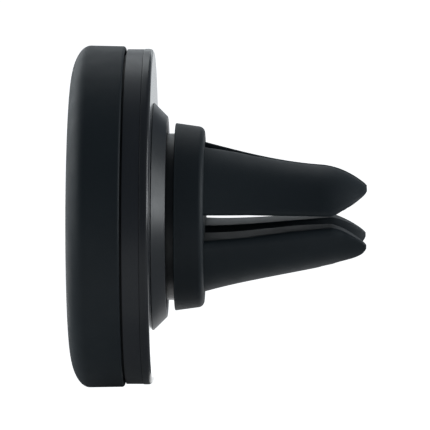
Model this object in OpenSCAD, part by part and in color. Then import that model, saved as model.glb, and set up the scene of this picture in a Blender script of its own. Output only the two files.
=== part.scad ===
// Magnetic phone mount with a four-pronged air vent clip.
// The origin is the centre of the phone face. X runs along the swivel axis towards the prongs, and Z is up.

/* [Phone head] */
// Diameter of the soft front cover
head_d = 42; // [40:0.5:46]
// Depth of the front cover, from the phone face to its seam
cover_depth = 6.6; // [6.4:0.05:6.65]
// Wall of the front cover
cover_wall = 1.15; // [1:0.05:1.3]
// Rounding of the cover's front edge, across the face
edge_across = 4.6; // [3:0.1:5]
// Rounding of the cover's front edge, along the axis
edge_along = 2.35; // [2:0.05:3]
// How much the cover's radius narrows towards its seam
cover_draft = 0.08; // [0:0.02:0.12]
// How far the rear housing stands in from the cover
housing_step = 0.39; // [0.3:0.01:0.5]

/* [Magnets] */
// Number of disc magnets
magnet_count = 6; // [4:6]
// Diameter of one magnet
magnet_d = 8; // [6:0.5:8.5]
// Thickness of one magnet
magnet_t = 3; // [2:0.5:3]
// Radius of the circle that the magnets sit on
magnet_ring_r = 11; // [10.5:0.1:11]

/* [Swivel] */
// Diameter of the neck that the head turns on
neck_d = 20.48; // [20:0.02:20.6]
// Radial clearance between the neck and the head's bore
running_fit = 0.06; // [0.03:0.01:0.1]
// Diameter of the swivel screw's thread
screw_d = 3; // [2.5:0.5:3]

/* [Vent clip] */
// Diameter of the collar at its front edge
collar_d = 23.06; // [22.9:0.02:24]
// Length of the collar along the axis
collar_len = 3.8; // [3.7:0.05:3.9]
// Distance from the phone face to the prong tips
prong_tip_x = 36.3; // [35.5:0.1:37]
// Half thickness of the narrow upper slit at its closed end
slit_gap = 0.15; // [0.12:0.01:0.2]
// Gap between a prong and the collar behind it
root_gap = 0.4; // [0.36:0.02:0.5]

/* [Hidden] */
magnet_names = [for (i = [1:magnet_count]) str("magnet_", i)];
prong_places = ["upper_near", "upper_far", "lower_near", "lower_far"];
prong_names = [for (place = prong_places) str("prong_", place)];
spine_names = [for (place = prong_places) str("spine_", place)];

round_fn = 96;
small_fn = 48;
arc_steps = 6;
tiny = 0.02;

rubber = "#1c2023";
satin = "#26272b";
gloss = "#1f2124";
nylon = "#cfcdc4";
steel = "#9a9da1";

// Stations along the axis, from the phone face backwards.
head_r = head_d / 2;
flat_r = head_r - edge_across;
cover_floor_x = 1.2;
tape_t = 0.25;
tray_front_x = cover_floor_x + tape_t;
tray_skin = 0.6;
magnet_x = tray_front_x + tray_skin;
yoke_x = magnet_x + magnet_t;
yoke_t = 1;
housing_x = 6.82;
rear_plate_x = 8.92;
head_back_x = 10.07;
cone_back_x = 11.79;
collar_x = 12.54;
collar_back_x = collar_x + collar_len;

// Head radii.
tray_r = head_r - cover_wall;
tray_rim_r = 19.15;
housing_r = head_r - housing_step - 0.04;
ring_in_r = 19.2;
rear_r = head_r - housing_step;
tray_well_r = 4.5;
magnet_start = 30;
yoke_r = 15.1;
cone_base_r = 14.03;
cone_top_r = 12.31;
neck_r = neck_d / 2;
hub_bore_r = neck_r + running_fit;

// Small head screws.
screw_count = 3;
hub_screw_start = 60;
housing_screw_ring_r = 17.2;
hub_screw_ring_r = 12.2;
small_head_r = 1.35;
small_head_t = 0.9;
small_shank_r = 0.8;
hub_head_t = 0.75;
hub_shank_r = 0.6;
boss_r = 1.6;

// Swivel stack.
retainer_x = 7.25;
retainer_t = 0.8;
retainer_r = 12.6;
neck_end_x = retainer_x + retainer_t;
washer_in_r = 10.6;
washer_out_r = 12.5;
washer_t = 0.32;
screw_r = screw_d / 2;
screw_head_r = 2.75;
screw_head_t = 1.8;
screw_end_x = 13.4;

// Clip core and the round roots that the prongs flex on.
core_back_x = 15.12;
root_x = 14;
root_r = 6.8;
root_knuckle_r = 1;
root_clearance = 0.08;
root_half_len = 2.2;
core_pocket_in_r = 3.6;
core_pocket_out_r = 8.7;
core_pocket_depth = 4.2;
core_rib_t = 1.2;

// Prong outline stations.
prong_x = collar_back_x + root_gap;
crest_x = 31.85;
nose_x = 32;
split_crest_x = 27.5;
curve_steps = 5;
outside = 14;

function bezier(a, b, c, d, t) =
    a * pow(1 - t, 3) + b * 3 * t * pow(1 - t, 2) + c * 3 * t * t * (1 - t) + d * pow(t, 3);
function curve(a, b, c, d, first = 0) = [for (i = [first:curve_steps]) bezier(a, b, c, d, i / curve_steps)];
function arc(cx, cy, rx, ry, from, to) =
    [for (i = [0:arc_steps]) let (a = from + (to - from) * i / arc_steps) [cx + rx * cos(a), cy + ry * sin(a)]];

// Revolves an outline of [radius, distance along the axis] points about X.
module turned(outline) {
    rotate([0, 90, 0])
        rotate_extrude($fn = round_fn)
            polygon(outline);
}

module rod(r, from_x, to_x, fn = small_fn) {
    translate([from_x, 0, 0])
        rotate([0, 90, 0])
            cylinder(r = r, h = to_x - from_x, $fn = fn);
}

module ring(r_in, r_out, from_x, to_x) {
    turned([[r_in, from_x], [r_out, from_x], [r_out, to_x], [r_in, to_x]]);
}

// Places copies on a circle of radius r about X, starting at an angle from +Z.
module around(count, r, start = 0) {
    for (i = [0:count - 1])
        rotate([start + i * 360 / count, 0, 0])
            translate([0, 0, r])
                children();
}

// --- Phone head -------------------------------------------------------------------------------------------

module front_cover() {
    rear_round = 0.35;
    inner_round = 1.2;
    tray_fit_r = tray_r;
    color(rubber)
        turned(concat(
            [[0, 0]],
            arc(flat_r, edge_along, edge_across, edge_along, -90, 0),
            arc(head_r - cover_draft - rear_round, cover_depth - rear_round, rear_round, rear_round, 0, 90),
            [[tray_fit_r, cover_depth]],
            arc(tray_fit_r - inner_round, cover_floor_x + inner_round, inner_round, inner_round, 0, -90),
            [[0, cover_floor_x]]
        ));
}

module adhesive_disc() {
    color("#3a3a3a")
        rod(flat_r - 0.6, cover_floor_x, tray_front_x, round_fn);
}

module magnet_tray() {
    front_round = 1.2;
    color(satin)
        difference() {
            turned(concat(
                [[0, tray_front_x]],
                arc(tray_r - front_round, tray_front_x + front_round, front_round, front_round, -90, 0),
                [[tray_r, housing_x - tiny], [tray_rim_r, housing_x - tiny], [tray_rim_r, housing_x + 1.2]],
                [[tray_rim_r - 1, housing_x + 1.2], [tray_rim_r - 1, housing_x - tiny]],
                [[yoke_r + 0.1, housing_x - tiny], [yoke_r + 0.1, yoke_x], [0, yoke_x]]
            ));
            around(magnet_count, magnet_ring_r, magnet_start)
                rod(magnet_d / 2 + tiny, magnet_x, yoke_x + 1);
            rod(tray_well_r, tray_front_x + tray_skin, yoke_x + 1);
            around(screw_count, housing_screw_ring_r) {
                rod(small_head_r + tiny, tray_front_x - 1, tray_front_x + small_head_t + tiny);
                rod(small_shank_r + tiny, tray_front_x, housing_x + 2);
                rod(boss_r + 0.1, housing_x - 0.1, housing_x + 2);
            }
        }
}

module magnet(index) {
    color(steel)
        rotate([magnet_start + index * 360 / magnet_count, 0, 0])
            translate([0, 0, magnet_ring_r])
                rod(magnet_d / 2, magnet_x, yoke_x);
}

module yoke_plate() {
    color(steel)
        ring(tray_well_r, yoke_r, yoke_x, yoke_x + yoke_t);
}

module housing_ring() {
    color(satin)
        ring(ring_in_r, housing_r, housing_x, rear_plate_x);
}

module rear_plate() {
    rim_round = 0.65;
    color(gloss)
        difference() {
            union() {
                turned(concat(
                    [[hub_bore_r, rear_plate_x], [rear_r, rear_plate_x]],
                    arc(rear_r - rim_round, head_back_x - rim_round, rim_round, rim_round, 0, 90),
                    [[hub_bore_r, head_back_x]]
                ));
                around(screw_count, housing_screw_ring_r)
                    rod(boss_r, housing_x, rear_plate_x + 0.2);
            }
            around(screw_count, housing_screw_ring_r)
                rod(small_shank_r + tiny, housing_x - 1, rear_plate_x + 0.5);
            around(screw_count, hub_screw_ring_r, hub_screw_start)
                hub_screw_shape(tiny);
        }
}

module hub_cone() {
    end_round = 0.45;
    color(gloss)
        difference() {
            turned(concat(
                [[hub_bore_r, head_back_x], [cone_base_r, head_back_x]],
                arc(cone_top_r - end_round, cone_back_x - end_round, end_round, end_round, 45, 90),
                [[hub_bore_r, cone_back_x]]
            ));
            around(screw_count, hub_screw_ring_r, hub_screw_start)
                hub_screw_shape(tiny);
        }
}

module housing_screw() {
    rod(small_head_r, tray_front_x + tiny, tray_front_x + small_head_t);
    rod(small_shank_r, tray_front_x + small_head_t - tiny, rear_plate_x + 0.4);
}

module housing_screws() {
    color(steel)
        around(screw_count, housing_screw_ring_r)
            housing_screw();
}

// Countersunk screw along X with its head flush with the rear plate's inner face.
module hub_screw_shape(grow) {
    head_r = 1.3;
    rotate([0, 90, 0])
        rotate_extrude($fn = small_fn)
            polygon([
                [0, rear_plate_x - grow],
                [head_r + grow, rear_plate_x - grow],
                [head_r + grow, rear_plate_x + 0.1],
                [hub_shank_r + grow, rear_plate_x + hub_head_t],
                [hub_shank_r + grow, cone_back_x - 1.05 + grow],
                [0, cone_back_x - 1.05 + grow]
            ]);
}

module hub_screws() {
    color(steel)
        around(screw_count, hub_screw_ring_r, hub_screw_start)
            hub_screw_shape(0);
}

module friction_washer() {
    color(nylon)
        ring(washer_in_r, washer_out_r, rear_plate_x - washer_t, rear_plate_x);
}

// --- Swivel and clip --------------------------------------------------------------------------------------

module retainer_disc() {
    color(steel)
        ring(screw_r + 0.1, retainer_r, retainer_x, neck_end_x);
}

module wave_washer() {
    color(steel)
        ring(washer_in_r, washer_out_r, neck_end_x + tiny, neck_end_x + washer_t);
}

module swivel_screw() {
    head_round = 0.7;
    color(steel)
        difference() {
            turned(concat(
                [[0, retainer_x - screw_head_t]],
                arc(screw_head_r - head_round, retainer_x - screw_head_t + head_round, head_round, head_round, -90, 0),
                [[screw_head_r, retainer_x], [screw_r, retainer_x], [screw_r, screw_end_x - 0.5]],
                [[screw_r - 0.5, screw_end_x], [0, screw_end_x]]
            ));
            cross_recess();
        }
}

module cross_recess() {
    arm = 2.6;
    slot = 0.6;
    depth = 1.1;
    for (turn = [0, 90])
        rotate([turn, 0, 0])
            translate([retainer_x - screw_head_t - 1, -arm / 2, -slot / 2])
                cube([depth + 1, arm, slot]);
}

// Groove that a prong's round root sits in, from the root backwards.
module root_groove(to_x, half_width, half_len) {
    at_root() {
        rotate([90, 0, 0])
            cylinder(r = root_knuckle_r + root_clearance, h = 2 * half_len, center = true, $fn = small_fn);
        translate([0, -half_len, -half_width])
            cube([to_x - root_x, 2 * half_len, 2 * half_width]);
    }
}

// Moves to a prong's hinge point, with the outward direction as Z.
module at_root() {
    translate([root_x, 0, root_r])
        children();
}

// The four prongs sit on the diagonals.
module on_diagonals() {
    for (quarter = [0:3])
        rotate([45 + quarter * 90, 0, 0])
            children();
}

module clip_core() {
    color(satin)
        difference() {
            rod(neck_r, neck_end_x, core_back_x, round_fn);
            rod(screw_r + tiny, neck_end_x - 1, screw_end_x + 0.3);
            difference() {
                ring(core_pocket_in_r, core_pocket_out_r, neck_end_x - 1, neck_end_x + core_pocket_depth);
                for (turn = [0, 90])
                    rotate([turn, 0, 0])
                        translate([neck_end_x - 1, -neck_r, -core_rib_t / 2])
                            cube([core_pocket_depth + 2, neck_d, core_rib_t]);
            }
            on_diagonals()
                root_groove(core_back_x + 1, root_knuckle_r + root_clearance, root_half_len + 0.25);
        }
}

module collar() {
    front_r = collar_d / 2;
    front_lift = 0.25;
    back_r = 11.02;
    front_round = 0.3;
    back_round = 0.8;
    taper = 8;
    window_r = 1.35;
    color(rubber)
        difference() {
            turned(concat(
                [[0, core_back_x], [neck_r, core_back_x], [neck_r, collar_x]],
                arc(front_r - front_round, collar_x + front_lift + front_round, front_round, front_round, -90, 0),
                arc(back_r - back_round + 0.11, collar_back_x - back_round, back_round, back_round, taper, 90),
                [[0, collar_back_x]]
            ));
            on_diagonals()
                root_groove(collar_back_x + 1, window_r, root_half_len + 0.3);
        }
}

// --- Prongs -----------------------------------------------------------------------------------------------

// Outline of the prongs' common outer surface, as [distance along the axis, radius].
function envelope(upper) = upper
    ? concat(
        curve([prong_x, 9.13], [21.5, 7.85], [26, 6.8], [30.5, 6.5]),
        curve([30.5, 6.5], [32.8, 6.35], [34.7, 5.3], [prong_tip_x, 3.95], 1)
    )
    : concat(
        curve([prong_x, 9.13], [21, 7.95], [25.5, 7.2], [nose_x, 5.9]),
        curve([nose_x, 5.9], [33.7, 5.55], [35.3, 5.45], [prong_tip_x, 5.2], 1)
    );

// Face towards the vent blade, as [distance along the axis, height from the middle].
function blade_face(upper) = upper
    ? concat(
        curve([prong_x, 1.6], [22, 1.42], [27, 1.2], [crest_x, 1.03]),
        curve([crest_x, 1.03], [32.9, 1.45], [34.8, 2.4], [prong_tip_x, 3.5], 1)
    )
    : concat(
        curve([prong_x, 1.52], [22, 1.46], [26, 0.66], [crest_x, 0.42]),
        curve([crest_x, 0.42], [32.8, 0.48], [34.6, 1.36], [prong_tip_x, 2.7], 1)
    );

// Face towards the neighbouring prong, as [distance along the axis, distance from the middle].
function split_face(upper) = upper
    ? concat(
        curve([prong_x, 1.6], [20, 0.9], [23, slit_gap], [27, slit_gap]),
        curve([31, slit_gap], [33.5, slit_gap], [35.4, 0.4], [prong_tip_x, 0.9])
    )
    : concat(
        curve([prong_x, 2.1], [20, 2.1], [23.5, 1.6], [split_crest_x, 1.6]),
        curve([split_crest_x, 1.6], [31, 1.6], [34.6, 2.3], [prong_tip_x, 4.2], 1)
    );

// One prong in the quarter where Y and Z are positive.
module prong_quarter(upper) {
    skin = envelope(upper);
    flat = blade_face(upper);
    side = split_face(upper);
    close = [[prong_tip_x, outside], [prong_x, outside]];
    intersection() {
        turned(concat([[0, prong_x]], [for (p = skin) [p[1], p[0]]], [[0, prong_tip_x]]));
        rotate([90, 0, 0])
            linear_extrude(2 * outside, center = true)
                polygon(concat(flat, close));
        linear_extrude(2 * outside, center = true)
            polygon(concat(side, close));
    }
}

// Stiff tongue on the diagonal, from its round root to near the tip.
module spine_diagonal() {
    spine_end_x = 32.4;
    end_r = 4.6;
    root_half_t = 0.75;
    end_half_t = 0.45;
    end_half_len = 1;
    at_root()
        rotate([90, 0, 0])
            cylinder(r = root_knuckle_r, h = 2 * root_half_len, center = true, $fn = small_fn);
    intersection() {
        rotate([90, 0, 0])
            linear_extrude(2 * outside, center = true)
                polygon([
                    [root_x, root_r - root_half_t],
                    [spine_end_x, end_r - end_half_t],
                    [spine_end_x, end_r + end_half_t],
                    [root_x, root_r + root_half_t]
                ]);
        linear_extrude(2 * outside, center = true)
            polygon([
                [root_x, -root_half_len],
                [spine_end_x, -end_half_len],
                [spine_end_x, end_half_len],
                [root_x, root_half_len]
            ]);
    }
}

// Puts a prong built in the positive quarter into its own quarter. Near is -Y.
module placed(index) {
    near = index % 2 == 0;
    upper = index < 2;
    mirror([0, near ? 1 : 0, 0])
        mirror([0, 0, upper ? 0 : 1])
            children();
}

module spine(index) {
    color(nylon)
        placed(index)
            rotate([-45, 0, 0])
                spine_diagonal();
}

module prong(index) {
    color(rubber)
        placed(index)
            difference() {
                prong_quarter(index < 2);
                rotate([-45, 0, 0])
                    spine_diagonal();
            }
}

// --- Nodes ------------------------------------------------------------------------------------------------

front_cover();
adhesive_disc();
magnet_tray();
yoke_plate();
housing_ring();
rear_plate();
hub_cone();
housing_screws();
hub_screws();
friction_washer();
clip_core();
retainer_disc();
wave_washer();
swivel_screw();
collar();
for (i = [0:magnet_count - 1]) {
    magnet(i);
}
for (i = [0:3]) {
    prong(i);
    spine(i);
}
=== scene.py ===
"""Magnetic car phone mount with a four-pronged air vent clip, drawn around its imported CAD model.

Lengths in the outlines are millimetres, as in the CAD. MM turns them into the scene's metres.
X runs along the swivel axis, from the phone face to the prong tips, and Z is up.
"""

import math

import bmesh
import bpy
import numpy as np
from mathutils import Matrix, Vector


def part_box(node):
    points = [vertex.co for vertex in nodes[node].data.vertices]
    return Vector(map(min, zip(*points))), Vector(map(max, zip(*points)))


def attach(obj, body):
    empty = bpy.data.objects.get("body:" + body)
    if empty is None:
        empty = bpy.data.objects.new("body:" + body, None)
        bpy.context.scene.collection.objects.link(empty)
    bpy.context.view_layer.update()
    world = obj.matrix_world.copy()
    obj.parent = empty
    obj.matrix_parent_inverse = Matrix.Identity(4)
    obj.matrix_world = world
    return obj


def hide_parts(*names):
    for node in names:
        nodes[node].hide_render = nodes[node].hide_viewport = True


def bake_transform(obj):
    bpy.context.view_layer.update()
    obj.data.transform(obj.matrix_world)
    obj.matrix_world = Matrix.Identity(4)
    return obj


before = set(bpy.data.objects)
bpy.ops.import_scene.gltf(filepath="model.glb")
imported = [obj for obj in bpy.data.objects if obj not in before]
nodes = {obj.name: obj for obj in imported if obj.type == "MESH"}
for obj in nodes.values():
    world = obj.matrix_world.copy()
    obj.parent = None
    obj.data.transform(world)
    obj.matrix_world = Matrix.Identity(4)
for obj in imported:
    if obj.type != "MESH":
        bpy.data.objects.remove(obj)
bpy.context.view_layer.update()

MM = 0.001
# Radii below this, in millimetres, count as points on the axis.
ON_AXIS = 1e-4
# Points round a turned piece, round a screw boss and round a prong.
AROUND = 192
BOSS_AROUND = 32
PRONG_AROUND = 96
PLACES = ("upper_near", "upper_far", "lower_near", "lower_far")


# --- Sizes that the CAD model fixes, in millimetres -----------------------------------------------


def node_box(node):
    """Lowest and highest corner of a CAD node, in millimetres."""
    low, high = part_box(node)
    return Vector(low) / MM, Vector(high) / MM


def span(node):
    """Where a CAD node starts and ends along the axis, and its outer radius about the axis."""
    low, high = node_box(node)
    return low.x, high.x, high.z


_, COVER_BACK, COVER_R = span("front_cover")
RING_FRONT, RING_BACK, RING_R = span("housing_ring")
_, PLATE_BACK, PLATE_R = span("rear_plate")
PLATE_FRONT = RING_BACK
CONE_FRONT, CONE_BACK, CONE_R = span("hub_cone")
_, CORE_BACK, NECK_R = span("clip_core")
COLLAR_FRONT, COLLAR_BACK, COLLAR_R = span("collar")
TIP_X = node_box("prong_upper_near")[1].x

# Running clearance of the head's bore round the neck.
HUB_BORE_R = NECK_R + 0.06
# The collar's front face, a little behind the front of its CAD node.
COLLAR_FACE = COLLAR_FRONT + 0.15

# The spines in the prongs, as the CAD has them.
# Each end is (x, distance from the axis, half thickness, half width).
SPINE_ROOT = (14, 6.8, 0.75, 2.2)
SPINE_END = (32.4, 4.6, 0.45, 1)
# Half thickness and half width of the collar's window for each spine.
WINDOW_HALF = (1.35, 2.4)
# Room round a spine in its socket, at its root and at its end. The root needs more, because the
# prong bends less there than the spine turns.
SOCKET_ROOM = (0.3, 0.03)
SOCKET_PAST_END = 0.05
# Edges of the collar that turn more than this are the windows' rims, which stay sharp.
WINDOW_RIM_ANGLE = math.radians(50)
# Where each prong's middle lies, as a turn about X from straight up.
DIAGONAL = {"upper_near": -45, "upper_far": 45, "lower_near": -135, "lower_far": 135}


# --- Mesh helpers ---------------------------------------------------------------------------------


def link(name, data):
    piece = bpy.data.objects.new(name, data)
    bpy.context.scene.collection.objects.link(piece)
    return piece


def build(name, bm):
    """Turns a finished bmesh into a linked object, with its faces pointing outwards."""
    bmesh.ops.recalc_face_normals(bm, faces=bm.faces)
    mesh = bpy.data.meshes.new(name)
    bm.to_mesh(mesh)
    bm.free()
    return link(name, mesh)


def finish_piece(piece, material, body, replaced=(), weighted=True):
    """Smooth shading, one material, and the frame's words for a finished piece."""
    for face in piece.data.polygons:
        face.use_smooth = True
    if weighted:
        normals = piece.modifiers.new("even_normals", "WEIGHTED_NORMAL")
        normals.keep_sharp = True
        normals.weight = 80
    piece.data.materials.clear()
    piece.data.materials.append(material)
    if body:
        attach(piece, body)
    if replaced:
        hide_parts(*replaced)
    return piece


def rounded_outline(corners, steps=6):
    """A closed outline through (x, radius, fillet) corners, with each fillet drawn as a curve."""
    out = []
    count = len(corners)
    for i, (x, r, fillet) in enumerate(corners):
        here = Vector((x, r))
        before = Vector(corners[i - 1][:2]) - here
        after = Vector(corners[(i + 1) % count][:2]) - here
        if fillet <= 0:
            out.append(here)
            continue
        turn = before.angle(after)
        reach = min(fillet / math.tan(turn / 2), before.length * 0.49, after.length * 0.49)
        radius = reach * math.tan(turn / 2)
        inward = (before.normalized() + after.normalized()).normalized()
        centre = here + inward * (radius / math.sin(turn / 2))
        first = here + before.normalized() * reach - centre
        last = here + after.normalized() * reach - centre
        swing = first.angle_signed(last)
        for k in range(steps + 1):
            spoke = first.copy()
            spoke.rotate(Matrix.Rotation(-swing * k / steps, 2))
            out.append(centre + spoke)
    return out


def lathe(name, outline, around=AROUND):
    """Revolves an outline of (x, radius) points about X. Points on the axis close an end."""
    bm = bmesh.new()
    turns = [2 * math.pi * k / around for k in range(around)]
    rings = []
    for x, r in outline:
        if r < ON_AXIS:
            rings.append([bm.verts.new((x * MM, 0, 0))])
        else:
            rings.append(
                [bm.verts.new((x * MM, r * MM * math.sin(a), r * MM * math.cos(a))) for a in turns]
            )
    pairs = list(zip(rings, rings[1:]))
    if len(rings[0]) > 1 and len(rings[-1]) > 1:
        pairs.append((rings[-1], rings[0]))
    for before, after in pairs:
        for k in range(around):
            n = (k + 1) % around
            corners = (
                before[k % len(before)],
                before[n % len(before)],
                after[n % len(after)],
                after[k % len(after)],
            )
            face = list(dict.fromkeys(corners))
            if len(face) > 2:
                bm.faces.new(face)
    return build(name, bm)


def carve(piece, tool, how, turn=0, radius=0):
    """Joins a tool to a piece or cuts it away, once it is moved up by the radius and turned about X."""
    outwards = Matrix.Translation((0, 0, radius * MM))
    tool.data.transform(Matrix.Rotation(math.radians(-turn), 4, "X") @ outwards)
    step = piece.modifiers.new("carve", "BOOLEAN")
    step.operation, step.object, step.solver = how, tool, "EXACT"
    bpy.context.view_layer.update()
    graph = bpy.context.evaluated_depsgraph_get()
    result = bpy.data.meshes.new_from_object(piece.evaluated_get(graph))
    piece.modifiers.remove(step)
    old, piece.data = piece.data, result
    result.name = piece.name
    bpy.data.meshes.remove(old)
    bpy.data.objects.remove(tool)


def tapered_bar(name, ends):
    """A four-sided bar along X. Each end is (x, distance from the axis, half thickness, half width)."""
    bm = bmesh.new()
    rims = []
    for x, r, thick, wide in ends:
        inner, outer = r - thick, r + thick
        corners = ((-wide, inner), (wide, inner), (wide, outer), (-wide, outer))
        rims.append([bm.verts.new((x * MM, y * MM, z * MM)) for y, z in corners])
    for k in range(4):
        n = (k + 1) % 4
        bm.faces.new((rims[0][k], rims[0][n], rims[1][n], rims[1][k]))
    for rim in rims:
        bm.faces.new(rim)
    return build(name, bm)


# --- Materials ------------------------------------------------------------------------------------


class Graph:
    """A short way to write a node material."""

    def __init__(self, name):
        self.material = bpy.data.materials.new(name)
        self.material.use_nodes = True
        self.tree = self.material.node_tree
        self.shader = self.tree.nodes["Principled BSDF"]
        self.place = self.add("ShaderNodeTexCoord").outputs["Object"]

    def add(self, kind, **values):
        node = self.tree.nodes.new(kind)
        for key, value in values.items():
            setattr(node, key, value)
        return node

    def join(self, source, target):
        self.tree.links.new(source, target)

    def noise(self, scale, detail=2.0, roughness=0.5, stretch=(1, 1, 1)):
        mapping = self.add("ShaderNodeMapping")
        mapping.inputs["Scale"].default_value = stretch
        self.join(self.place, mapping.inputs["Vector"])
        node = self.add("ShaderNodeTexNoise")
        node.inputs["Scale"].default_value = scale
        node.inputs["Detail"].default_value = detail
        node.inputs["Roughness"].default_value = roughness
        self.join(mapping.outputs["Vector"], node.inputs["Vector"])
        return node.outputs["Fac"]

    def ramp(self, source, low, high, start=0.35, end=0.65):
        """A grey or coloured ramp between two values."""
        node = self.add("ShaderNodeValToRGB")
        for element, at, value in zip(node.color_ramp.elements, (start, end), (low, high)):
            element.position = at
            grey = isinstance(value, (int, float))
            element.color = (value, value, value, 1) if grey else (*value, 1)
        self.join(source, node.inputs["Fac"])
        return node.outputs["Color"]

    def along(self, start, end, first, last):
        """A value that goes from first to last between two distances along X, in millimetres."""
        parts = self.add("ShaderNodeSeparateXYZ")
        self.join(self.place, parts.inputs[0])
        step = self.add("ShaderNodeMapRange")
        step.inputs["From Min"].default_value = start * MM
        step.inputs["From Max"].default_value = end * MM
        step.inputs["To Min"].default_value = first
        step.inputs["To Max"].default_value = last
        self.join(parts.outputs["X"], step.inputs["Value"])
        return step.outputs["Result"]

    def bump(self, source, distance, strength=1.0, under=None):
        node = self.add("ShaderNodeBump")
        node.inputs["Distance"].default_value = distance
        node.inputs["Strength"].default_value = strength
        self.join(source, node.inputs["Height"])
        if under is not None:
            self.join(under, node.inputs["Normal"])
        return node.outputs["Normal"]

    def set(self, **values):
        for key, value in values.items():
            self.shader.inputs[key.replace("_", " ")].default_value = value


def rubber(name, dark, light, rough=(0.54, 0.59), grain=0.06, specular=0.4, painted_highlight_lip=None):
    """Soft matte rubber: faint cloudiness in colour and gloss, and a very fine grain.

    A painted lip highlight is (x where it starts to fade, how far the fade reaches, its pale colour):
    the base colour is painted pale in front of that x and fades out over the reach behind it, as a
    painted highlight.
    """
    g = Graph(name)
    cloud = g.noise(90, detail=4, roughness=0.6)
    colour = g.ramp(cloud, dark, light)
    if painted_highlight_lip:
        # Painted highlight: a paler base colour along the edge stands in for light catching it.
        plane, reach, painted_highlight_colour = painted_highlight_lip
        highlight_blend = g.add("ShaderNodeMix", data_type="RGBA")
        g.join(g.along(plane, plane + reach, 1, 0), highlight_blend.inputs[0])
        g.join(colour, highlight_blend.inputs[6])
        highlight_blend.inputs[7].default_value = (*painted_highlight_colour, 1)
        colour = highlight_blend.outputs[2]
    g.join(colour, g.shader.inputs["Base Color"])
    g.join(g.ramp(g.noise(400, detail=3), rough[0], rough[1]), g.shader.inputs["Roughness"])
    fine = g.bump(g.noise(9000, detail=2), grain * MM, 0.25)
    g.join(g.bump(g.noise(1500, detail=2), grain * MM, 0.12, under=fine), g.shader.inputs["Normal"])
    g.set(Specular_IOR_Level=specular)
    return g.material


def moulded(name, dark, light, rough, grain=0.02, strength=0.12, specular=0.5):
    """Injection moulded plastic: even colour, a slight sparkle from its tool texture."""
    g = Graph(name)
    g.join(g.ramp(g.noise(140, detail=3), dark, light), g.shader.inputs["Base Color"])
    gloss = g.ramp(g.noise(700, detail=4, roughness=0.7), rough[0], rough[1])
    g.join(gloss, g.shader.inputs["Roughness"])
    g.join(g.bump(g.noise(5000, detail=2), grain * MM, strength), g.shader.inputs["Normal"])
    g.set(Specular_IOR_Level=specular)
    return g.material


def two_finish(name, dark, light, satin, polished, plane):
    """Moulded plastic that is satin in front of the distance plane and polished behind it."""
    g = Graph(name)
    g.join(g.ramp(g.noise(140, detail=3), dark, light), g.shader.inputs["Base Color"])
    g.join(g.along(plane - 0.25, plane - 0.1, satin, polished), g.shader.inputs["Roughness"])
    g.join(g.bump(g.noise(5000, detail=2), 0.01 * MM, 0.04), g.shader.inputs["Normal"])
    g.set(Specular_IOR_Level=0.55)
    return g.material


def metal(name, dark, light, rough, stretch=(1, 1, 1), scale=900, grain=0.01, strength=0.2):
    """Plated or brushed metal."""
    g = Graph(name)
    streak = g.noise(scale, detail=5, roughness=0.65, stretch=stretch)
    g.join(g.ramp(streak, dark, light), g.shader.inputs["Base Color"])
    g.join(g.ramp(streak, rough[0], rough[1]), g.shader.inputs["Roughness"])
    g.join(g.bump(streak, grain * MM, strength), g.shader.inputs["Normal"])
    g.set(Metallic=1.0)
    return g.material


COVER_RUBBER = rubber("cover_rubber", (0.015, 0.0215, 0.026), (0.0178, 0.0248, 0.0298))
PRONG_RUBBER = rubber("prong_rubber", (0.0142, 0.0202, 0.0248), (0.0168, 0.0235, 0.0285))
CLIP_RUBBER = rubber(
    "clip_rubber",
    (0.0122, 0.0178, 0.0222),
    (0.0146, 0.021, 0.0258),
    # The collar's front face and lip get a painted highlight: a pale band of base colour.
    painted_highlight_lip=(COLLAR_FACE + 0.1, 0.2, (0.04, 0.053, 0.06)),
)
HOUSING_SATIN = moulded(
    "housing_satin", (0.0212, 0.0228, 0.0275), (0.0232, 0.0248, 0.03), (0.35, 0.41), specular=0.62
)
HOUSING_GLOSS = two_finish(
    "housing_gloss", (0.0212, 0.0225, 0.026), (0.0228, 0.024, 0.0275), 0.3, 0.1, PLATE_BACK
)
HUB_GLOSS = moulded(
    "hub_gloss", (0.021, 0.0235, 0.0275), (0.0225, 0.025, 0.029), (0.34, 0.37), 0.01, 0.06
)
CORE_PLASTIC = moulded("core_plastic", (0.01, 0.0105, 0.011), (0.013, 0.0135, 0.014), (0.32, 0.45))
TRAY_PLASTIC = moulded("tray_plastic", (0.01, 0.01, 0.011), (0.014, 0.014, 0.015), (0.45, 0.6))
SPINE_NYLON = moulded("spine_nylon", (0.012, 0.012, 0.013), (0.018, 0.018, 0.019), (0.4, 0.55))
WASHER_NYLON = moulded("washer_nylon", (0.62, 0.6, 0.54), (0.7, 0.68, 0.62), (0.4, 0.5))
TAPE_FOAM = rubber("tape_foam", (0.05, 0.05, 0.052), (0.09, 0.09, 0.092), (0.85, 0.95), 0.12, 0.2)
MAGNET_NICKEL = metal("magnet_nickel", (0.5, 0.5, 0.49), (0.62, 0.61, 0.59), (0.16, 0.26))
YOKE_STEEL = metal("yoke_steel", (0.42, 0.44, 0.47), (0.56, 0.58, 0.6), (0.28, 0.42), scale=250)
PLATE_STEEL = metal("plate_steel", (0.4, 0.4, 0.41), (0.52, 0.52, 0.53), (0.3, 0.45), scale=500)
SPRING_STEEL = metal("spring_steel", (0.2, 0.19, 0.17), (0.3, 0.285, 0.26), (0.25, 0.4), scale=500)
SCREW_STEEL = metal("screw_steel", (0.4, 0.42, 0.44), (0.55, 0.56, 0.57), (0.22, 0.34), scale=1200)


# --- Phone head -----------------------------------------------------------------------------------


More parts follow.
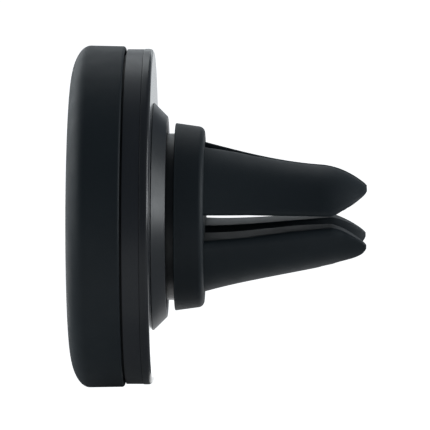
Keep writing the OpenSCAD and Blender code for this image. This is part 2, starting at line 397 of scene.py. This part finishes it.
def front_cover():
    """Soft cap with a flat phone face, an elliptical edge and a slightly tapering side wall."""
    flat_r = COVER_R - 4.6
    edge = 2.35
    wall = 1.15
    floor_x = 1.2
    draft = 0.08
    steps = 20
    outline = [(0, 0), (0, flat_r * 0.5), (0, flat_r * 0.8), (0, flat_r)]
    for k in range(1, steps + 1):
        a = math.pi / 2 * k / steps
        outline.append((edge * (1 - math.cos(a)), flat_r + (COVER_R - flat_r) * math.sin(a)))
    rear = rounded_outline(
        [
            (edge + 0.2, COVER_R - draft * 0.05, 0),
            (COVER_BACK, COVER_R - draft, 0.32),
            (COVER_BACK, COVER_R - wall, 0.1),
            (floor_x, COVER_R - wall, 1.2),
            (floor_x, 1, 0),
        ]
    )
    outline += [tuple(p) for p in rear] + [(floor_x, 0)]
    return finish_piece(
        lathe("soft_front_cover", outline), COVER_RUBBER, "head", ["front_cover"]
    )


def housing_ring():
    """Plain band between the cap's seam and the rear plate."""
    inside_r = 19.2
    outline = rounded_outline(
        [
            (RING_FRONT, inside_r, 0.1),
            (RING_FRONT, RING_R, 0.08),
            (RING_BACK, RING_R, 0.06),
            (RING_BACK, inside_r, 0.1),
        ]
    )
    return finish_piece(
        lathe("housing_band", outline), HOUSING_SATIN, "head", ["housing_ring"]
    )


def rear_plate():
    """Rear wall of the head, with its rolled rim and the three screw bosses on its inner face."""
    boss_ring_r, boss_r, boss_bore_r, boss_end = 17.2, 1.6, 0.82, PLATE_FRONT + 0.2
    outline = rounded_outline(
        [
            (PLATE_FRONT, HUB_BORE_R, 0.08),
            (PLATE_FRONT, PLATE_R, 0.1),
            (PLATE_BACK, PLATE_R, 0.95),
            (PLATE_BACK, HUB_BORE_R, 0.1),
        ],
        10,
    )
    plate = lathe("back_plate", outline)
    for turn in (0, 120, 240):
        boss = rounded_outline(
            [
                (RING_FRONT, boss_bore_r, 0.1),
                (RING_FRONT, boss_r, 0.15),
                (boss_end, boss_r, 0),
                (boss_end, boss_bore_r, 0),
            ]
        )
        carve(plate, lathe("boss", boss, BOSS_AROUND), "UNION", turn, boss_ring_r)
    return finish_piece(plate, HOUSING_GLOSS, "head", ["rear_plate"])


def hub_cone():
    """Boss round the swivel, whose side slopes at 45 degrees."""
    top_r = CONE_R - (CONE_BACK - CONE_FRONT)
    outline = rounded_outline(
        [
            (CONE_FRONT, HUB_BORE_R, 0.05),
            (CONE_FRONT, CONE_R, 0.05),
            (CONE_BACK, top_r, 0.22),
            (CONE_BACK, HUB_BORE_R, 0.15),
        ]
    )
    return finish_piece(lathe("swivel_cone", outline), HUB_GLOSS, "head", ["hub_cone"])


# --- Collar and neck ------------------------------------------------------------------------------


def collar():
    """Rubber collar that wraps the neck's end, with a window for each prong's spine."""
    back_r = 11.02
    profile = rounded_outline(
        [
            (CORE_BACK, 1, 0),
            (CORE_BACK, NECK_R, 0.05),
            (COLLAR_FACE, NECK_R, 0.1),
            (COLLAR_FACE + 0.05, COLLAR_R, 0.14),
            (COLLAR_BACK, back_r, 0.8),
            (COLLAR_BACK, 8, 0),
            (COLLAR_BACK, 1, 0),
        ],
        8,
    )
    outline = [(CORE_BACK, 0), *(tuple(p) for p in profile), (COLLAR_BACK, 0)]
    ring = lathe("rubber_collar", outline)
    window_ends = [(x, SPINE_ROOT[1], *WINDOW_HALF) for x in (CORE_BACK - 0.4, COLLAR_BACK + 0.5)]
    for turn in DIAGONAL.values():
        carve(ring, tapered_bar("window", window_ends), "DIFFERENCE", turn)
    ring.data.set_sharp_from_angle(angle=WINDOW_RIM_ANGLE)
    return finish_piece(ring, CLIP_RUBBER, "clip", ["collar"])


# --- Prongs ---------------------------------------------------------------------------------------

# Where the blade faces bulge most, and how far the fine rings there reach to each side.
CREST_X = 31.85
CREST_REACH = 0.6
# Where the lower prongs are closest to each other.
SPLIT_CREST_X = 27.5
ROOT_X = COLLAR_BACK + 0.4
# How far the prongs are sunk into the collar.
SUNK = 0.15
# Half the gap between the two upper prongs, where they are closest.
SLIT = 0.04
# Every prong lies inside this distance from the middle of its section.
SEARCH_R = 12.0

# Bezier curves of (x, height): a prong's outer radius, the height of the face that meets the
# blade, and the distance of its side face from the middle plane. True is for the upper prongs.

OUTER = {
    True: (
        ((ROOT_X, 9.13), (21.5, 7.85), (26, 6.8), (30.5, 6.5)),
        ((30.5, 6.5), (32.8, 6.35), (34.7, 5.3), (TIP_X, 3.95)),
    ),
    False: (
        ((ROOT_X, 9.13), (21, 7.95), (25.5, 7.2), (32, 5.9)),
        ((32, 5.9), (33.7, 5.55), (35.3, 5.45), (TIP_X, 5.2)),
    ),
}
BLADE = {
    True: (
        ((ROOT_X, 1.6), (22, 1.42), (27, 1.2), (CREST_X, 1.03)),
        ((CREST_X, 1.03), (32.9, 1.45), (34.8, 2.4), (TIP_X, 3.5)),
    ),
    False: (
        ((ROOT_X, 1.52), (22, 1.46), (26, 0.66), (CREST_X, 0.42)),
        ((CREST_X, 0.42), (32.8, 0.48), (34.6, 1.36), (TIP_X, 2.7)),
    ),
}
SPLIT = {
    True: (
        ((ROOT_X, 1.55), (19.8, 0.85), (22, SLIT), (26, SLIT)),
        ((31, SLIT), (33.5, SLIT), (35.4, 0.3), (TIP_X, 0.85)),
    ),
    False: (
        ((ROOT_X, 2.1), (20, 2.1), (23.5, 1.6), (SPLIT_CREST_X, 1.6)),
        ((SPLIT_CREST_X, 1.6), (31, 1.6), (34.6, 2.3), (TIP_X, 4.2)),
    ),
}


def follow(curves, x):
    """Heights of a chain of Bezier curves at the distances x, going on straight before its start."""
    points = []
    for a, b, c, d in curves:
        for t in np.linspace(0, 1, 60):
            s = 1 - t
            weights = (s**3, 3 * s * s * t, 3 * s * t * t, t**3)
            points.append(
                tuple(sum(w * p[axis] for w, p in zip(weights, (a, b, c, d))) for axis in (0, 1))
            )
    points = np.array(points)
    first_slope = (points[1, 1] - points[0, 1]) / (points[1, 0] - points[0, 0])
    y = np.interp(x, points[:, 0], points[:, 1])
    return np.where(x < points[0, 0], points[0, 1] + (x - points[0, 0]) * first_slope, y)


STATIONS = np.linspace(COLLAR_BACK - 1, TIP_X, 4000)
HEIGHTS = {
    (kind, upper): follow(curves[upper], STATIONS)
    for kind, curves in (("blade", BLADE), ("split", SPLIT), ("outer", OUTER))
    for upper in (True, False)
}
# Rounding where a prong's faces meet: from its blade face, its split face, its outer face and its tip.
ROUNDING = {True: (0.75, 0.14, 0.65, 0.5), False: (1.2, 0.35, 1.0, 0.5)}


def height(kind, upper, x):
    return np.interp(x, STATIONS, HEIGHTS[kind, upper])


def prong_inside(x, y, z, upper):
    """Below 0 inside the rounded prong and above 0 outside it, where y and z are positive."""
    blade_round, split_round, outer_round, tip_round = ROUNDING[upper]
    close = np.clip((TIP_X - x) / 3.0, 0.25, 1.0)
    terms = (
        (height("blade", upper, x) - z, blade_round * close),
        (height("split", upper, x) - y, split_round * close),
        (np.hypot(y, z) - height("outer", upper, x), outer_round * close),
        (x - TIP_X, tip_round),
    )
    total = sum(np.maximum(d / r + 1, 0) ** 2 for d, r in terms)
    return np.sqrt(total) - 1


def section_middle(upper, x):
    """A point well inside the prong's section at x, as (y, z)."""
    blade, split, outer = (float(height(kind, upper, x)) for kind in ("blade", "split", "outer"))
    reach = outer / math.hypot(split + 0.1, blade + 0.1)
    centre = np.array((split, blade)) * 0.5 + np.array((split, blade)) * 0.5 * reach
    middle = (outer * 0.5) / math.sqrt(2) + 0.4
    return (centre + np.array((max(middle, split + 0.3), max(middle, blade + 0.3)))) / 2


def prong_rings(upper):
    """Rings of points round the prong's outline, each found by halving from its section's middle."""
    first, last = CREST_X - CREST_REACH, CREST_X + CREST_REACH
    stations = np.concatenate(
        [
            np.linspace(COLLAR_BACK - SUNK, first, 70, endpoint=False),
            np.linspace(first, last, 13, endpoint=False),
            last + (TIP_X - CREST_X - CREST_REACH) * np.sin(np.linspace(0, math.pi / 2, 40)),
        ]
    )
    angles = np.linspace(0, 2 * math.pi, PRONG_AROUND, endpoint=False)
    rings, centres = [], []
    for x in stations:
        centre = section_middle(upper, x)
        if prong_inside(x, centre[0], centre[1], upper) >= -0.02:
            break
        near, far = np.zeros_like(angles), np.full_like(angles, SEARCH_R)
        for _ in range(40):
            mid = (near + far) / 2
            y, z = centre[0] + mid * np.cos(angles), centre[1] + mid * np.sin(angles)
            outside = prong_inside(x, y, z, upper) > 0
            far = np.where(outside, mid, far)
            near = np.where(outside, near, mid)
        y, z = centre[0] + near * np.cos(angles), centre[1] + near * np.sin(angles)
        rings.append(np.column_stack((np.full_like(angles, x), y, z)))
        centres.append((x, *centre))
    return rings, centres


def socket():
    """Tool for the room that a spine has inside its prong."""
    ends = []
    for spine, room, past in zip((SPINE_ROOT, SPINE_END), SOCKET_ROOM, (0, SOCKET_PAST_END)):
        x, r, thick, wide = spine
        ends.append((x + past, r, thick + room, wide + room / 2))
    return tapered_bar("socket", ends)


def prong(place):
    """One rubber prong, with a socket for its spine."""
    upper = place.startswith("upper")
    side = -1 if place.endswith("near") else 1
    lift = 1 if upper else -1
    rings, centres = prong_rings(upper)
    bm = bmesh.new()

    def vert(p):
        return bm.verts.new((p[0] * MM, p[1] * side * MM, p[2] * lift * MM))

    made = [[vert(p) for p in ring] for ring in rings]
    for a_ring, b_ring in zip(made, made[1:]):
        for k in range(PRONG_AROUND):
            n = (k + 1) % PRONG_AROUND
            bm.faces.new((a_ring[k], a_ring[n], b_ring[n], b_ring[k]))
    for ring, centre in ((made[0], centres[0]), (made[-1], centres[-1])):
        hub = vert(centre)
        for k in range(PRONG_AROUND):
            bm.faces.new((ring[k], ring[(k + 1) % PRONG_AROUND], hub))
    piece = build(f"rubber_prong_{place}", bm)
    carve(piece, socket(), "DIFFERENCE", DIAGONAL[place])
    finish_piece(piece, PRONG_RUBBER, None, [f"prong_{place}"], False)
    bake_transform(piece)
    return piece


# --- Carried-over CAD nodes -----------------------------------------------------------------------

CAD_LOOKS = {
    "adhesive_disc": TAPE_FOAM,
    "magnet_tray": TRAY_PLASTIC,
    "yoke_plate": YOKE_STEEL,
    "housing_screws": SCREW_STEEL,
    "hub_screws": SCREW_STEEL,
    "friction_washer": WASHER_NYLON,
    "clip_core": CORE_PLASTIC,
    "retainer_disc": PLATE_STEEL,
    "wave_washer": SPRING_STEEL,
    "swivel_screw": SCREW_STEEL,
    **{f"magnet_{i}": MAGNET_NICKEL for i in range(1, 7)},
    **{f"spine_{place}": SPINE_NYLON for place in PLACES},
}


def dress_cad_nodes():
    """Gives the CAD nodes that no handmade piece replaces their materials."""
    for name, material in CAD_LOOKS.items():
        for slot in nodes[name].material_slots:
            slot.material = material


# --- Camera, light and floor ----------------------------------------------------------------------

# What the camera looks at, from how far, and from what angles. It is a long lens, as in the photo.
AIM = Vector((17.59, 0, 0.23)) * MM
DISTANCE = 0.61
ELEVATION = math.radians(10.2)
YAW = math.radians(1.15)
LENS = 415.8

# Lengths here are metres.
MIDDLE = Vector((0.016, 0, 0))
LIGHT_DISTANCE = 0.7
TABLE_Z = -0.0214
TABLE_HALF = 1.5
FLOOR_Z = -0.9
FLOOR_HALF = 12

COOL_WHITE = (0.955, 1.0, 1.02)
AMBIENT_COLOUR = (0.84, 1.0, 1.16, 1)
AMBIENT = 0.13
WHITE = (1, 1, 1, 1)

# Soft lights: azimuth, elevation, width and height in degrees, seen from the object, and radiance.
# Azimuth 0 is behind the object and 90 is on the prongs' side.
SOFTBOXES = {
    "left_back": (-42, 16, 50, 26, 1.5),
    "left_wall": (-85, 16, 36, 26, 1.5),
    "low_left": (-80, 3, 100, 8, 1.5),
    "right": (90, 15, 26, 26, 3.2),
    "low_right": (90, 3, 26, 8, 6.0),
    "right_back": (60, 16, 26, 26, 0.3),
    "back_mid": (0, 16, 26, 26, 0.4),
    "horizon": (0, 7, 60, 10, 0.7),
    "back_top": (0, 42, 26, 26, 1.15),
    "back_top_left": (-30, 42, 26, 26, 0.45),
    "left_top": (-75, 42, 26, 26, 0.35),
    "top": (-30, 68, 26, 26, 0.3),
}
# Lit strips of table top that shine up at the object: spans in x and y, in millimetres, and radiance.
GLOW_CARDS = {
    "card_left": ((-60, 0), (25, 160), 1.5),
    "card_near": ((7, 60), (5, 45), 0.5),
    "card_far": ((7, 160), (90, 900), 0.36),
    "card_glint": ((10.2, 12.8), (-5, 110), 1.0),
    "card_front": ((-60, 90), (-160, -24), 0.12),
}
# This one is only there to be mirrored in glossy edges.
MIRRORED_ONLY = "card_glint"


def camera():
    data = bpy.data.cameras.new("camera")
    data.lens = LENS
    data.sensor_width = 36
    data.clip_start = 0.01
    cam = link("camera", data)
    level = math.cos(ELEVATION)
    back = Vector((math.sin(YAW) * level, -math.cos(YAW) * level, math.sin(ELEVATION)))
    cam.location = AIM + back * DISTANCE
    cam.rotation_euler = (-back).to_track_quat("-Z", "Y").to_euler()
    bpy.context.scene.camera = cam


def area_light(name, wide, high, radiance):
    """A rectangular light that the camera doesn't see."""
    data = bpy.data.lights.new(name, "AREA")
    data.shape = "RECTANGLE"
    data.size = wide
    data.size_y = high
    data.energy = math.pi * data.size * data.size_y * radiance
    lamp = link(name, data)
    lamp.visible_camera = False
    return lamp


def softbox(name, azimuth, elevation, across, up, radiance):
    az, el = math.radians(azimuth), math.radians(elevation)
    towards = Vector((math.sin(az) * math.cos(el), math.cos(az) * math.cos(el), math.sin(el)))
    wide, high = (2 * LIGHT_DISTANCE * math.tan(math.radians(a / 2)) for a in (across, up))
    lamp = area_light(name, wide, high, radiance)
    lamp.data.color = COOL_WHITE
    lamp.location = MIDDLE + towards * LIGHT_DISTANCE
    lamp.rotation_euler = (-towards).to_track_quat("-Z", "Y").to_euler()


def glow_card(name, x_span, y_span, radiance):
    wide, deep = ((span[1] - span[0]) * MM for span in (x_span, y_span))
    lamp = area_light(name, wide, deep, radiance)
    lamp.location = (sum(x_span) / 2 * MM, sum(y_span) / 2 * MM, TABLE_Z + 0.0002)
    lamp.rotation_euler = (math.pi, 0, 0)
    lamp.visible_diffuse = name != MIRRORED_ONLY


def plane(name, half, z, material):
    mesh = bpy.data.meshes.new(name)
    corners = [(-half, -half, z), (half, -half, z), (half, half, z), (-half, half, z)]
    mesh.from_pydata(corners, [], [(0, 1, 2, 3)])
    mesh.materials.append(material)
    piece = link(name, mesh)
    return piece


def plain(name, grey, glow=0.0):
    """Matte grey for the stage, which can glow white."""
    material = bpy.data.materials.new(name)
    material.use_nodes = True
    shader = material.node_tree.nodes["Principled BSDF"]
    shader.inputs["Base Color"].default_value = (grey, grey, grey, 1)
    shader.inputs["Roughness"].default_value = 0.9
    shader.inputs["Specular IOR Level"].default_value = 0.0
    shader.inputs["Emission Color"].default_value = WHITE
    shader.inputs["Emission Strength"].default_value = glow
    return material


def white_world():
    """A dim cool ambient light on the object, behind a background that the camera sees as white."""
    world = bpy.data.worlds.new("studio")
    world.use_nodes = True
    tree = world.node_tree
    ambient = tree.nodes["Background"]
    ambient.inputs["Color"].default_value = AMBIENT_COLOUR
    ambient.inputs["Strength"].default_value = AMBIENT
    white = tree.nodes.new("ShaderNodeBackground")
    white.inputs["Color"].default_value = WHITE
    white.inputs["Strength"].default_value = 1.0
    mix = tree.nodes.new("ShaderNodeMixShader")
    rays = tree.nodes.new("ShaderNodeLightPath")
    tree.links.new(rays.outputs["Is Camera Ray"], mix.inputs[0])
    tree.links.new(ambient.outputs[0], mix.inputs[1])
    tree.links.new(white.outputs[0], mix.inputs[2])
    tree.links.new(mix.outputs[0], tree.nodes["World Output"].inputs["Surface"])
    bpy.context.scene.world = world


def studio():
    for name, values in SOFTBOXES.items():
        softbox(name, *values)
    for name, values in GLOW_CARDS.items():
        glow_card(name, *values)
    table = plane("table", TABLE_HALF, TABLE_Z, plain("table_white", 0.75))
    table.visible_camera = False
    floor = plane("floor", FLOOR_HALF, FLOOR_Z, plain("floor_white", 0.9, 1.0))
    floor.visible_diffuse = floor.visible_glossy = floor.visible_shadow = False
    white_world()
    bpy.context.scene.view_settings.view_transform = "Standard"


front_cover()
housing_ring()
rear_plate()
hub_cone()
collar()
for place in PLACES:
    prong(place)
dress_cad_nodes()
camera()
studio()
